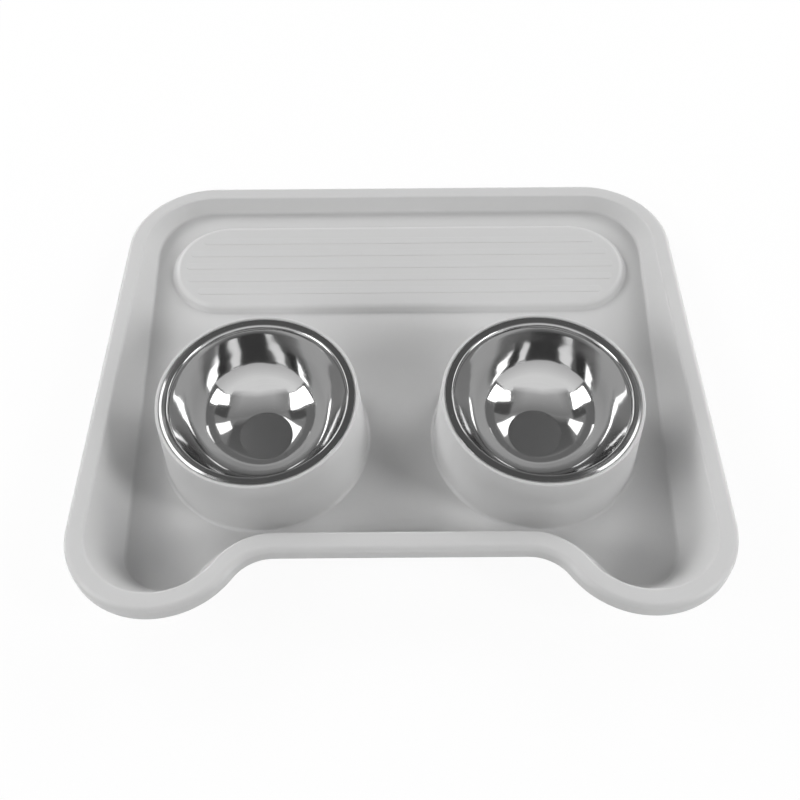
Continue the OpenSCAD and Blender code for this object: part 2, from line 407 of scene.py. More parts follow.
def arc(centre, radius, start, stop, hollow=False):
    """Places and outward directions on an arc of an outline."""
    steps = max(2, math.ceil(abs(stop - start) / ARC_STEP))
    places = []
    for step in range(steps + 1):
        angle = start + (stop - start) * step / steps
        out = Vector((math.cos(angle), math.sin(angle)))
        places.append((centre + out * radius, -out if hollow else out))
    return places


def straight(start, stop, out):
    """Places between the two ends of a straight stretch of an outline, without the ends."""
    steps = math.ceil((stop - start).length / STRAIGHT_STEP)
    return [(start.lerp(stop, step / steps), out) for step in range(1, steps)]


def tray_outline():
    """The tray's edge in the rim's plane, anticlockwise from the middle of the front."""
    towards_lobe = math.atan2(LOBE_CENTRE.y - NOTCH_CENTRE.y, LOBE_CENTRE.x - NOTCH_CENTRE.x)
    quarter = math.pi / 2
    notch = arc(NOTCH_CENTRE, NOTCH_R, quarter, towards_lobe, hollow=True)
    lobe = arc(LOBE_CENTRE, LOBE_R, towards_lobe + math.pi, 2 * math.pi)
    corner = arc(BACK_CENTRE, BACK_R, 0, quarter)
    front = (Vector((0, NOTCH_Y)), Vector((0, -1)))
    back = (Vector((0, TRAY_D / 2)), Vector((0, 1)))
    half = straight(front[0], notch[0][0], front[1]) + notch + lobe[1:]
    half += straight(lobe[-1][0], corner[0][0], corner[0][1]) + corner
    half += straight(corner[-1][0], back[0], back[1])
    mirrored = [(Vector((-p.x, p.y)), Vector((-n.x, n.y))) for p, n in reversed(half)]
    return [front] + half + [back] + mirrored


def pad_outline():
    """The pad's edge, anticlockwise."""
    end_x = (PAD_L - PAD_W) / 2
    quarter = math.pi / 2
    return (arc(Vector((end_x, PAD_Y)), PAD_W / 2, -quarter, quarter)
            + arc(Vector((-end_x, PAD_Y)), PAD_W / 2, quarter, 3 * quarter))


# The tray

RIM_TURN = Matrix.Rotation(-RIM_SLOPE, 3, "X")


def from_rim(place):
    """A place in the rim plane's frame, moved to where the sloping rim is."""
    return RIM_TURN @ place + Vector((0, RIM_SHIFT_Y, RIM_Z))


def wall_foot(place, out, inset, level):
    """Where the leaning wall that starts at an inset of the rim reaches a level, in the part's frame."""
    slope = math.sin(RIM_SLOPE)
    drop = (RIM_Z - level - (place.y - inset * out.y) * slope) / (
        math.cos(RIM_SLOPE) - WALL_LEAN * out.y * slope)
    run = inset + WALL_LEAN * drop
    return from_rim(Vector((place.x - out.x * run, place.y - out.y * run, -drop)))


def wall_ways(out):
    """Directions up the leaning wall and level away from it, inwards."""
    wall_up = RIM_TURN @ Vector((out.x * WALL_LEAN, out.y * WALL_LEAN, 1))
    inwards = RIM_TURN @ Vector((-out.x, -out.y, -out.y * math.tan(RIM_SLOPE)))
    return wall_up.normalized(), inwards.normalized()


def hollow_radius(radius, gap):
    """Radius of a hollow curve at the floor, smaller where a stand and the wall come close together."""
    return radius * min(1, gap / CLOSE_GAP)


def swept(place, out, at, normal):
    """A section's (across, up) place and normal, stood up at a place of an outline."""
    return (Vector((place.x + out.x * at.x, place.y + out.y * at.x, at.y)),
            Vector((out.x * normal.x, out.y * normal.x, normal.y)))


def tray_edge_rings(shell):
    """The tray's whole edge, from its underside round the skirt and rim to its floor."""
    outer_inset = RIM_W - WALL_T
    # Far enough down the walls to give the section's first and last direction
    far_down = 1.0
    edge = section([
        (outer_inset + WALL_LEAN * far_down, -far_down, 0, 0),
        (outer_inset + WALL_LEAN * RIM_T, -RIM_T, UNDER_WALL_R, SMALL_STEPS),
        (RIM_ROUND, -RIM_T, UNDER_RIM_R, SMALL_STEPS),
        (RIM_T, -RIM_ROUND, UNDER_RIM_R, SMALL_STEPS),
        (RIM_T, -SKIRT_H, SKIRT_IN_R, SMALL_STEPS),
        (0, -SKIRT_H, SKIRT_OUT_R, SMALL_STEPS),
        (0, 0, RIM_ROUND, EDGE_STEPS),
        (RIM_W, 0, RIM_EDGE_R, EDGE_STEPS),
        (RIM_W + WALL_LEAN * far_down, -far_down, 0, 0),
    ], air_left=True)
    columns = []
    for place, out in tray_outline():
        wall_up, inwards = wall_ways(out)
        column = bend(wall_foot(place, out, outer_inset, FLOOR_BOTTOM_Z), -inwards, wall_up,
                      UNDER_WALL_R, SMALL_STEPS, hollow=False)
        for at, normal, mark in edge:
            point, facing = swept(place, -out, at, normal)
            column.append((from_rim(point), RIM_TURN @ facing, mark))
        foot = wall_foot(place, out, RIM_W, FLOOR_Z)
        gap = min((foot.xy - centre).length for centre in STAND_CENTRES.values()) - STAND_BASE_R
        column += bend(foot, -wall_up, inwards, hollow_radius(CREASE_R, gap), EDGE_STEPS, hollow=True)
        columns.append(column)
    rings = [shell.ring(stations) for stations in zip(*columns)]
    shell.loft(rings)
    return rings[0], rings[-1]


def stand_rings(shell, centre, wall_feet):
    """A stand with its ledge, lip and hollow. Gives its rings on the floor and on the underside."""
    recess_r = FLANGE_R + BOWL_GAP
    seat_hole_r = FLANGE_R - FLANGE_W + BOWL_GAP
    lip_r = (STAND_TOP_R - recess_r - LIP_FLAT) / 2
    inner_top_r = STAND_TOP_R - STAND_T
    inner_base_r = STAND_BASE_R - STAND_T
    stations = section([
        (STAND_BASE_R, FLOOR_Z, 0, 0),
        (STAND_TOP_R, LIP_Z, lip_r, EDGE_STEPS),
        (recess_r, LIP_Z, lip_r, EDGE_STEPS),
        (recess_r, SEAT_Z, SEAT_CREASE_R, SMALL_STEPS),
        (seat_hole_r, SEAT_Z, SEAT_EDGE_R, SMALL_STEPS),
        (seat_hole_r, SEAT_Z - STAND_T, SEAT_EDGE_R, SMALL_STEPS),
        (inner_top_r, SEAT_Z - STAND_T, STAND_HOLLOW_R, SMALL_STEPS),
        (inner_base_r, FLOOR_BOTTOM_Z, STAND_HOLLOW_R, SMALL_STEPS),
        (inner_base_r + STAND_T, FLOOR_BOTTOM_Z, 0, 0),
    ], air_left=False)
    columns = []
    up_wall = Vector((STAND_TOP_R - STAND_BASE_R, LIP_Z - FLOOR_Z)).normalized()
    for i in range(STAND_ROUND):
        angle = 2 * math.pi * i / STAND_ROUND
        out = Vector((math.cos(angle), math.sin(angle)))
        base = centre + out * STAND_BASE_R
        gap = min((base - foot).length for foot in wall_feet)
        column = []
        for at, normal, mark in bend(Vector((STAND_BASE_R, FLOOR_Z)), Vector((-1, 0)), up_wall,
                                     hollow_radius(STAND_FILLET, gap), EDGE_STEPS, hollow=True):
            column.append((*swept(centre, out, at, normal), mark))
        columns.append(column)
    foot_rings = [shell.ring(stations) for stations in zip(*columns)]
    shell.loft(foot_rings)
    rings = revolve(shell, stations, centre, STAND_ROUND)
    shell.bridge(foot_rings[-1], rings[0])
    return foot_rings[0], rings[-1]


def foot_recess_ring(shell, node):
    """The round recess that a foot sits in. Gives its ring on the underside."""
    low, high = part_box(node)
    centre = (low + high) / 2
    recess_r = FOOT_R + FOOT_GAP
    stations = section([
        (recess_r + FOOT_R, FLOOR_BOTTOM_Z, 0, 0),
        (recess_r, FLOOR_BOTTOM_Z, RECESS_EDGE_R, SMALL_STEPS),
        (recess_r, FOOT_T, RECESS_EDGE_R, SMALL_STEPS),
        (0, FOOT_T, 0, 0),
    ], air_left=True)
    rings = revolve(shell, stations, centre, RECESS_ROUND)
    shell.close(rings[-1], Vector((centre.x, centre.y, FOOT_T)), -UP)
    return rings[0]


def pad_ring(shell):
    """The raised pad. Gives its ring on the floor."""
    stations = section([
        (PAD_FOOT_OUT + PAD_FOOT_R, FLOOR_Z, 0, 0),
        (PAD_FOOT_OUT, FLOOR_Z, PAD_FOOT_R, EDGE_STEPS),
        (-PAD_TOP_IN, FLOOR_Z + PAD_H, PAD_TOP_R, EDGE_STEPS),
        (-PAD_TOP_IN - PAD_TOP_R, FLOOR_Z + PAD_H, 0, 0),
    ], air_left=False)
    rings = []
    for at, normal, mark in stations:
        rings.append(shell.ring([(*swept(place, out, at, normal), mark) for place, out in pad_outline()]))
    shell.loft(rings)
    shell.fill(rings[-1])
    return rings[0]


def tray_moulding(material):
    """Rim, skirt, wall, floor, pad and both stands: one moulding."""
    shell = Shell()
    underside, floor_edge = tray_edge_rings(shell)
    wall_feet = [wall_foot(place, out, RIM_W, FLOOR_Z).xy for place, out in tray_outline()]
    stands = [stand_rings(shell, centre, wall_feet) for centre in STAND_CENTRES.values()]
    recesses = [foot_recess_ring(shell, node) for node in FOOT_NODES]
    shell.fill(floor_edge, [pad_ring(shell)] + [on_floor for on_floor, _ in stands])
    shell.fill(underside, recesses + [below for _, below in stands])
    return shell.piece("tray_moulding", material)


# Ribs on the pad, by geometry nodes

RIB_INPUTS = {
    "Count": ("NodeSocketInt", RIB_COUNT),
    "Pitch": ("NodeSocketFloat", RIB_PITCH),
    "Rib Width": ("NodeSocketFloat", RIB_W),
    "Rib Height": ("NodeSocketFloat", RIB_H),
    "Pad Length": ("NodeSocketFloat", PAD_L),
    "Pad Width": ("NodeSocketFloat", PAD_W),
    "Inset": ("NodeSocketFloat", RIB_INSET),
    "Place": ("NodeSocketVector", (0, PAD_Y, FLOOR_Z + PAD_H)),
}


def give(tree, entry, term):
    """Gives an input a value, or links the output of another node to it."""
    if isinstance(term, bpy.types.NodeSocket):
        tree.links.new(term, entry)
    else:
        entry.default_value = term


def node(tree, kind, terms=None, **settings):
    """Adds a node with its settings, and gives its inputs their terms."""
    made = tree.nodes.new(kind)
    for name, value in settings.items():
        setattr(made, name, value)
    for entry, term in (terms or {}).items():
        give(tree, made.inputs[entry], term)
    return made


def output(tree, kind, terms=None, **settings):
    """Adds a node and gives its first output."""
    return node(tree, kind, terms, **settings).outputs[0]


def calculate(tree, operation, *terms, clamp=False):
    """A Math node on outputs or numbers. Gives its output."""
    return output(tree, "ShaderNodeMath", dict(enumerate(terms)), operation=operation, use_clamp=clamp)


def combine(tree, x=0, y=0, z=0):
    """A vector of outputs or numbers. Gives its output."""
    return output(tree, "ShaderNodeCombineXYZ", {"X": x, "Y": y, "Z": z})


def separate(tree, vector):
    """The three parts of a vector, by name."""
    return node(tree, "ShaderNodeSeparateXYZ", {0: vector}).outputs


def rib_tree(material):
    """Low flat-topped beads side by side, whose ends follow the pad's round ends."""
    tree = bpy.data.node_groups.new("pad_ribs", "GeometryNodeTree")
    tree.interface.new_socket("Geometry", in_out="OUTPUT", socket_type="NodeSocketGeometry")
    for name, (kind, _) in RIB_INPUTS.items():
        tree.interface.new_socket(name, in_out="INPUT", socket_type=kind)
    given = node(tree, "NodeGroupInput").outputs

    # One straight line of points for each rib, from side to side of the row
    row_half = calculate(tree, "MULTIPLY", calculate(tree, "SUBTRACT", given["Count"], 1),
                         calculate(tree, "MULTIPLY", given["Pitch"], 0.5))
    row_start = combine(tree, y=calculate(tree, "MULTIPLY", row_half, -1))
    row = output(tree, "GeometryNodeMeshLine", {
        "Count": given["Count"], "Start Location": row_start, "Offset": combine(tree, y=given["Pitch"])})
    line = output(tree, "GeometryNodeCurvePrimitiveLine", {"End": (1, 0, 0)})
    fine_line = output(tree, "GeometryNodeResampleCurve", {"Curve": line, "Count": RIB_POINTS})
    on_row = output(tree, "GeometryNodeInstanceOnPoints", {"Points": row, "Instance": fine_line})
    lines = output(tree, "GeometryNodeRealizeInstances", {0: on_row})

    # Half length of each rib, from where it lies across the pad
    across = separate(tree, output(tree, "GeometryNodeInputPosition"))["Y"]
    pad_half = calculate(tree, "MULTIPLY", given["Pad Width"], 0.5)
    end_r = calculate(tree, "SUBTRACT", pad_half, given["Inset"])
    end_reach = calculate(tree, "SQRT", calculate(
        tree, "SUBTRACT", calculate(tree, "MULTIPLY", end_r, end_r),
        calculate(tree, "MULTIPLY", across, across)))
    straight_part = calculate(tree, "SUBTRACT", given["Pad Length"], given["Pad Width"])
    half_length = calculate(tree, "ADD", calculate(tree, "MULTIPLY", straight_part, 0.5), end_reach)
    # Points stand closer together towards the ends, so that these come out round
    share = node(tree, "GeometryNodeSplineParameter").outputs["Factor"]
    sweep = calculate(tree, "COSINE", calculate(tree, "MULTIPLY", share, math.pi))
    along = calculate(tree, "MULTIPLY", half_length, calculate(tree, "MULTIPLY", sweep, -1))
    spread = output(tree, "GeometryNodeSetPosition", {
        "Geometry": lines, "Position": combine(tree, along, across)})

    # The bead narrows to nothing over half its width at each end
    measured = node(tree, "GeometryNodeSplineParameter").outputs["Length"]
    whole = node(tree, "GeometryNodeSplineLength").outputs["Length"]
    to_end = calculate(tree, "MINIMUM", measured, calculate(tree, "SUBTRACT", whole, measured))
    half_width = calculate(tree, "MULTIPLY", given["Rib Width"], 0.5)
    part = calculate(tree, "MINIMUM", calculate(tree, "DIVIDE", to_end, half_width), 1)
    left = calculate(tree, "SUBTRACT", 1, part)
    width_share = calculate(tree, "SQRT", calculate(
        tree, "SUBTRACT", 1, calculate(tree, "MULTIPLY", left, left)))
    sized = output(tree, "GeometryNodeSetCurveRadius", {"Curve": spread, "Radius": width_share})
    upright = output(tree, "GeometryNodeSetCurveNormal", {"Curve": sized}, mode="Z_UP")

    # Flat-topped section with round edges, whose lower half is buried in the pad
    ring = output(tree, "GeometryNodeCurvePrimitiveCircle", {
        "Resolution": RIB_SECTION_POINTS, "Radius": 1})
    around = separate(tree, output(tree, "GeometryNodeInputPosition"))
    square = []
    for axis in "XY":
        reach = calculate(tree, "SQRT", calculate(tree, "ABSOLUTE", around[axis]))
        square.append(calculate(tree, "MULTIPLY", reach, calculate(tree, "SIGN", around[axis])))
    squared = output(tree, "GeometryNodeSetPosition", {
        "Geometry": ring, "Position": combine(tree, *square)})
    oval = output(tree, "GeometryNodeTransform", {
        "Geometry": squared, "Scale": combine(tree, half_width, given["Rib Height"], 1)})
    beads = node(tree, "GeometryNodeCurveToMesh", {"Curve": upright, "Profile Curve": oval})
    # Some versions scale the section by an input of its own, others by the curve's radius
    if beads.inputs.get("Scale") is not None:
        give(tree, beads.inputs["Scale"], width_share)
    merged = output(tree, "GeometryNodeMergeByDistance", {
        "Geometry": beads.outputs[0], "Distance": WELD_DISTANCE})
    smooth = output(tree, "GeometryNodeSetShadeSmooth", {"Geometry": merged})
    moved = output(tree, "GeometryNodeTransform", {"Geometry": smooth, "Translation": given["Place"]})
    whole_row = output(tree, "GeometryNodeRealizeInstances", {0: moved})
    coloured = output(tree, "GeometryNodeSetMaterial", {"Geometry": whole_row, "Material": material})
    node(tree, "NodeGroupOutput", {0: coloured})
    return tree


def pad_ribs(material):
    """The pad's ribs, grown by nodes and kept as a mesh."""
    tree = rib_tree(material)
    carrier = place_object("rib_carrier", bpy.data.meshes.new("rib_carrier"))
    grown = carrier.modifiers.new("ribs", "NODES")
    grown.node_group = tree
    for socket in tree.interface.items_tree:
        if socket.in_out == "INPUT":
            grown[socket.identifier] = RIB_INPUTS[socket.name][1]
    bpy.context.view_layer.update()
    evaluated = carrier.evaluated_get(bpy.context.evaluated_depsgraph_get())
    mesh = bpy.data.meshes.new_from_object(evaluated)
    mesh.name = "pad_ribs"
    bpy.data.objects.remove(carrier)
    return place_object("pad_ribs", mesh)


# Steel bowls and rubber feet


def bowl_stations():
    """Section of a bowl's steel sheet, from the middle of the bottom, over the flange and back."""
    edge_cx = FLANGE_R - FLANGE_W
    wall_centre = Vector((edge_cx - BOWL_EDGE_R - BOWL_WALL_R, FLANGE_Z - BOWL_EDGE_R))
    sides = []
    for radius, hollow in [(BOWL_WALL_R, True), (BOWL_WALL_R + STEEL_T, False)]:
        wall_end = math.acos((BOWL_FLAT_R + BOWL_FLAT_EDGE - wall_centre.x) / radius)
        wall_end_place = wall_centre + Vector((math.cos(-wall_end), math.sin(-wall_end))) * radius
        flat_z = wall_centre.y - math.sqrt(radius ** 2 - (BOWL_FLAT_R - wall_centre.x) ** 2)
        step = section([(0, flat_z, 0, 0), (BOWL_FLAT_R, flat_z, BOWL_FLAT_EDGE_R, EDGE_STEPS),
                        (*wall_end_place, 0, 0)], air_left=hollow)
        wall = curve(wall_centre, radius, -wall_end, 0, BOWL_WALL_STEPS, hollow)
        sides.append((flat_z, step + wall))
    (top_z, top), (under_z, under) = sides
    wall_x = wall_centre.x + BOWL_WALL_R
    flange = section([
        (wall_x, FLANGE_Z - BOWL_EDGE_R * 2, 0, 0),
        (wall_x, FLANGE_Z, BOWL_EDGE_R, BOWL_EDGE_STEPS),
        (FLANGE_R - FLANGE_CROWN_W, FLANGE_Z, FLANGE_CROWN_R, EDGE_STEPS),
        (FLANGE_R, FLANGE_Z - FLANGE_CROWN, FLANGE_EDGE_R, EDGE_STEPS),
        (FLANGE_R, SEAT_Z, FLANGE_EDGE_R, EDGE_STEPS),
        (wall_x + STEEL_T, SEAT_Z, BOWL_EDGE_R - STEEL_T, EDGE_STEPS),
        (wall_x + STEEL_T, SEAT_Z - BOWL_EDGE_R, 0, 0),
    ], air_left=True)
    return top_z, under_z, top + flange[1:-1] + under[::-1]


def turned_piece(name, stations, centre, sides, first_end, last_end, material):
    """A closed piece, turned from its section. Each end is the height and the normal of its pole."""
    shell = Shell()
    rings = revolve(shell, stations, centre, sides)
    for ring, (height, normal) in ((rings[0], first_end), (rings[-1], last_end)):
        shell.close(ring, Vector((centre.x, centre.y, height)), normal)
    return shell.piece(name, material)


def steel_bowl(name, side, material):
    """A bowl of one steel sheet, with a flange that lies on the stand."""
    top_z, under_z, stations = bowl_stations()
    centre = Vector((side * BOWL_X, BOWL_Y))
    return turned_piece(name, stations, centre, BOWL_ROUND, (top_z, UP), (under_z, -UP), material)


def rubber_foot(name, cad_node, material):
    """A round foot with a soft edge and a shallow ring pressed into its sole."""
    low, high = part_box(cad_node)
    stations = section([
        (0, 0, 0, 0),
        (FOOT_RING_IN, 0, FOOT_RING_EDGE_R, SMALL_STEPS),
        (FOOT_RING_IN, FOOT_RING_DEPTH, FOOT_RING_CREASE_R, SMALL_STEPS),
        (FOOT_RING_OUT, FOOT_RING_DEPTH, FOOT_RING_CREASE_R, SMALL_STEPS),
        (FOOT_RING_OUT, 0, FOOT_RING_EDGE_R, SMALL_STEPS),
        (FOOT_R, 0, FOOT_EDGE_R, EDGE_STEPS),
        (FOOT_R, FOOT_T, FOOT_TOP_R, SMALL_STEPS),
        (0, FOOT_T, 0, 0),
    ], air_left=False)
    return turned_piece(name, stations, (low + high) / 2, FOOT_ROUND, (0, -UP), (FOOT_T, UP), material)


# Finishes


def object_place(tree):
    """The place on the object, in metres."""
    return node(tree, "ShaderNodeTexCoord").outputs["Object"]


def attribute(tree, name):
    """A value kept on the mesh's points."""
    return node(tree, "ShaderNodeAttribute", attribute_name=name).outputs["Fac"]


def new_group(name, inputs, outputs):
    """An empty shader node group with named inputs and outputs."""
    tree = bpy.data.node_groups.new(name, "ShaderNodeTree")
    for socket, value in inputs.items():
        made = tree.interface.new_socket(socket, in_out="INPUT", socket_type="NodeSocketFloat")
        made.default_value = value
    for socket in outputs:
        tree.interface.new_socket(socket, in_out="OUTPUT", socket_type="NodeSocketFloat")
    return tree, node(tree, "NodeGroupInput").outputs


def noise(tree, place, scale, detail=2.0, roughness=0.5):
    """A noise texture read at a place. Gives its value."""
    return node(tree, "ShaderNodeTexNoise", {
        "Vector": place, "Scale": scale, "Detail": detail, "Roughness": roughness}).outputs["Fac"]


def grain_group():
    """Moulded surface: a fine even grain over slow, faint clouds."""
    tree, given = new_group(
        "moulded_grain", {"Grain Scale": 1500.0, "Cloud Scale": 9.0, "Cloud Share": 0.5},
        ["Tone", "Height"])
    place = object_place(tree)
    grain = noise(tree, place, given["Grain Scale"], detail=3.0, roughness=0.6)
    clouds = noise(tree, place, given["Cloud Scale"], detail=4.0)
    fine_part = calculate(tree, "MULTIPLY", grain, calculate(tree, "SUBTRACT", 1, given["Cloud Share"]))
    cloud_part = calculate(tree, "MULTIPLY", clouds, given["Cloud Share"])
    tone = calculate(tree, "ADD", fine_part, cloud_part)
    node(tree, "NodeGroupOutput", {"Tone": tone, "Height": grain})
    return tree


def edge_group():
    """Patchy masks of convex edges, for wear and for a painted highlight, and of hollow curves, for
    painted shade.
    """
    tree, given = new_group(
        "edge_marks", {"Patch Scale": 60.0, "Patchiness": 0.5}, ["Wear And Highlight", "Painted Shade"])
    mark = attribute(tree, "edge_mark")
    patchy = noise(tree, object_place(tree), given["Patch Scale"], detail=5.0)
    patches = calculate(tree, "MULTIPLY", patchy, given["Patchiness"])
    even = calculate(tree, "SUBTRACT", 1, given["Patchiness"])
    strength = calculate(tree, "ADD", calculate(tree, "MULTIPLY", patches, 2), even)
    wear_and_highlight = calculate(tree, "MAXIMUM", mark, 0)
    shade_in_hollows = calculate(tree, "MAXIMUM", calculate(tree, "MULTIPLY", mark, -1), 0)
    node(tree, "NodeGroupOutput", {
        "Wear And Highlight": calculate(tree, "MULTIPLY", wear_and_highlight, strength, clamp=True),
        "Painted Shade": calculate(tree, "MULTIPLY", shade_in_hollows, strength, clamp=True)})
    return tree


def smear_group():
    """Faint wiped smears that change how sharply a surface shines."""
    tree, given = new_group("wiped_smears", {"Scale": 14.0, "Stretch": 3.0}, ["Smear"])
    stretched = output(tree, "ShaderNodeVectorMath", {
        0: object_place(tree), 1: combine(tree, given["Stretch"], 1, 1)}, operation="MULTIPLY")
    value = noise(tree, stretched, given["Scale"], detail=6.0, roughness=0.65)
    node(tree, "NodeGroupOutput", {"Smear": value})
    return tree


GRAIN = grain_group()
EDGES = edge_group()
SMEARS = smear_group()


def use_group(tree, group, **values):
    """Places a shared group in a material, with its own values."""
    terms = {name.replace("_", " "): value for name, value in values.items()}
    return node(tree, "ShaderNodeGroup", terms, node_tree=group).outputs


def new_material(name, terms):
    """A material with some inputs of its shader set."""
    material = bpy.data.materials.new(name)
    material.use_nodes = True
    tree = material.node_tree
    shader = tree.nodes["Principled BSDF"]
    for entry, term in terms.items():
        give(tree, shader.inputs[entry], term)
    return material, tree, shader


def mix_colours(tree, share, one, other):
    """Mixes two colours, each a tuple or an output. A share of 0 gives the first."""
    colours = [(*colour, 1) if isinstance(colour, tuple) else colour for colour in (one, other)]
    terms = {"Factor": share, **dict(zip(MIX_INPUTS, colours))}
    return node(tree, "ShaderNodeMix", terms, data_type="RGBA").outputs[MIX_OUTPUT]


def dress(tree, shader, colour, roughness, height, depth):
    """Gives a shader its colour, its roughness, and a relief of some depth."""
    relief = output(tree, "ShaderNodeBump", {"Distance": depth, "Height": height})
    for entry, term in {"Base Color": colour, "Roughness": roughness, "Normal": relief}.items():
        give(tree, shader.inputs[entry], term)


def weigh(tree, value, weight, base):
    """A value times its weight, added to a base."""
    return calculate(tree, "ADD", calculate(tree, "MULTIPLY", value, weight), base)


def tray_plastic():
    """Satin light grey plastic, neutral, with a fine grain, a painted highlight on convex edges and
    painted shade in hollow curves.
    """
    material, tree, shader = new_material("tray_plastic", {"Metallic": 0, "IOR": PLASTIC_IOR})
    grain = use_group(tree, GRAIN, Grain_Scale=1600.0, Cloud_Scale=8.0, Cloud_Share=0.6)
    edges = use_group(tree, EDGES, Patch_Scale=45.0, Patchiness=0.5)
    smears = use_group(tree, SMEARS, Scale=16.0, Stretch=2.5)
    body = mix_colours(tree, grain["Tone"], PLASTIC_DARK, PLASTIC_LIGHT)
    # Convex edges lighter, in patches: painted highlight
    wear_and_highlight = calculate(tree, "MULTIPLY", edges["Wear And Highlight"], PLASTIC_EDGE_HIGHLIGHT_SHARE)
    edge_lit = mix_colours(tree, wear_and_highlight, body, PLASTIC_EDGE_HIGHLIGHT)
    # Hollow curves darker: painted shade
    hollow_shade = calculate(tree, "MULTIPLY", edges["Painted Shade"], PLASTIC_PAINTED_SHADE_SHARE)
    colour = mix_colours(tree, hollow_shade, edge_lit, PLASTIC_PAINTED_SHADE)
    dull = weigh(tree, smears["Smear"], PLASTIC_SMEARED, PLASTIC_ROUGHNESS)
    polish = calculate(tree, "MULTIPLY", wear_and_highlight, PLASTIC_POLISHED)
    roughness = calculate(tree, "SUBTRACT", dull, polish)
    dress(tree, shader, colour, roughness, grain["Height"], PLASTIC_GRAIN_DEPTH)
    return material


def bowl_radius(tree, place):
    """Distance from the middle of the nearer bowl."""
    parts = separate(tree, place)
    x = calculate(tree, "SUBTRACT", calculate(tree, "ABSOLUTE", parts["X"]), BOWL_X)
    y = calculate(tree, "SUBTRACT", parts["Y"], BOWL_Y)
    squares = calculate(tree, "ADD", calculate(tree, "MULTIPLY", x, x), calculate(tree, "MULTIPLY", y, y))
    return calculate(tree, "SQRT", squares)


def soft_step(tree, value, start, stop):
    """Rises softly from 0 to 1 while a value goes from start to stop."""
    terms = {"Value": value, "From Min": start, "From Max": stop}
    return output(tree, "ShaderNodeMapRange", terms, interpolation_type="SMOOTHSTEP")


def bowl_steel():
    """Polished pressed steel with faint spin lines, a slight waviness and a satin bottom; its steep walls
    are painted darker as painted shade.
    """
    material, tree, shader = new_material("bowl_steel", {"Metallic": 1, "IOR": STEEL_IOR})
    place = object_place(tree)
    radius = bowl_radius(tree, place)
    smears = use_group(tree, SMEARS, Scale=22.0, Stretch=1.5)
    edges = use_group(tree, EDGES, Patch_Scale=90.0, Patchiness=0.6)
    rings = noise(tree, combine(tree, radius), SPIN_SCALE, detail=2.0, roughness=0.6)
    flat = soft_step(tree, radius, BOWL_FLAT_R, BOWL_FLAT_R - SATIN_BLEND)
    steep = soft_step(tree, radius, STEEP_FROM, STEEP_TO)
    tone = calculate(tree, "ADD", calculate(tree, "MULTIPLY", rings, 0.5),
                     calculate(tree, "MULTIPLY", smears["Smear"], 0.5))
    body = mix_colours(tree, tone, STEEL_DARK, STEEL_LIGHT)
    # Steep walls darker: painted shade, standing in for their darker reflections
    sides = mix_colours(tree, tone, STEEL_PAINTED_SHADE_DARK, STEEL_PAINTED_SHADE_LIGHT)
    satin = mix_colours(tree, tone, STEEL_FLAT_DARK, STEEL_FLAT_LIGHT)
    colour = mix_colours(tree, flat, mix_colours(tree, steep, body, sides), satin)
    polished = weigh(tree, smears["Smear"], STEEL_SMEARED, STEEL_ROUGHNESS)
    matt = calculate(tree, "ADD", polished, calculate(tree, "MULTIPLY", flat, STEEL_SATIN))
    scuffs = calculate(tree, "MULTIPLY", edges["Wear And Highlight"], STEEL_SCUFFED)
    roughness = calculate(tree, "ADD", matt, scuffs)
    waves = noise(tree, place, WAVE_SCALE, detail=1.0, roughness=0.4)
    wave_depth = weigh(tree, steep, WAVE_STEEP_SHARE, WAVE_SHARE)
    line_depth = weigh(tree, flat, SPIN_FLAT_SHARE, SPIN_SHARE)
    height = calculate(tree, "ADD", calculate(tree, "MULTIPLY", rings, line_depth),
                       calculate(tree, "MULTIPLY", waves, wave_depth))
    dress(tree, shader, colour, roughness, height, STEEL_DEPTH)
    return material


def foot_rubber():
    """Dull black rubber."""
    material, tree, shader = new_material("foot_rubber", {"Metallic": 0, "IOR": RUBBER_IOR})
    grain = use_group(tree, GRAIN, Grain_Scale=2400.0, Cloud_Scale=60.0, Cloud_Share=0.5)
    edges = use_group(tree, EDGES, Patch_Scale=200.0, Patchiness=0.7)
    body = mix_colours(tree, grain["Tone"], RUBBER_DARK, RUBBER_LIGHT)
    wear_and_highlight = calculate(tree, "MULTIPLY", edges["Wear And Highlight"], RUBBER_WEAR)
    colour = mix_colours(tree, wear_and_highlight, body, RUBBER_RUBBED)
    roughness = weigh(tree, grain["Tone"], RUBBER_GRAINY, RUBBER_ROUGHNESS)
    dress(tree, shader, colour, roughness, grain["Height"], RUBBER_GRAIN_DEPTH)
    return material


# The pieces

plastic = tray_plastic()
steel = bowl_steel()
rubber = foot_rubber()

tray = tray_moulding(plastic)
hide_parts("tray")
ribs = pad_ribs(plastic)
for piece in (tray, ribs):
    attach(piece, "tray")

for where, side in BOWL_SIDES.items():
    bowl = steel_bowl("steel_bowl_" + where, side, steel)
    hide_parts("bowl_" + where)
    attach(bowl, "bowl_" + where)

for cad_foot in FOOT_NODES:
    foot = rubber_foot("rubber_" + cad_foot, cad_foot, rubber)
    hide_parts(cad_foot)
    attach(foot, "tray")


# Studio: a closed ring of walls under a level ceiling, with bright panels set in them.
# Its cards are only mirrored in the object, and its lamps only light it.


def glow_material(name, can_fade):
    """Glows at the level of each point of a card, and fades out where the card fades."""
    material = bpy.data.materials.new(name)
    material.use_nodes = True
    tree = material.node_tree
    tree.nodes.clear()
    surface = output(tree, "ShaderNodeEmission", {"Strength": attribute(tree, "glow")})
    if can_fade:
        cover = attribute(tree, "cover")
        clear = output(tree, "ShaderNodeBsdfTransparent")
        surface = output(tree, "ShaderNodeMixShader", {0: cover, 1: clear, 2: surface})
    node(tree, "ShaderNodeOutputMaterial", {"Surface": surface})
    return material


CARD_GLOW = glow_material("card_glow", True)
CARD_GLOW.cycles.emission_sampling = "NONE"
LAMP_GLOW = glow_material("lamp_glow", False)


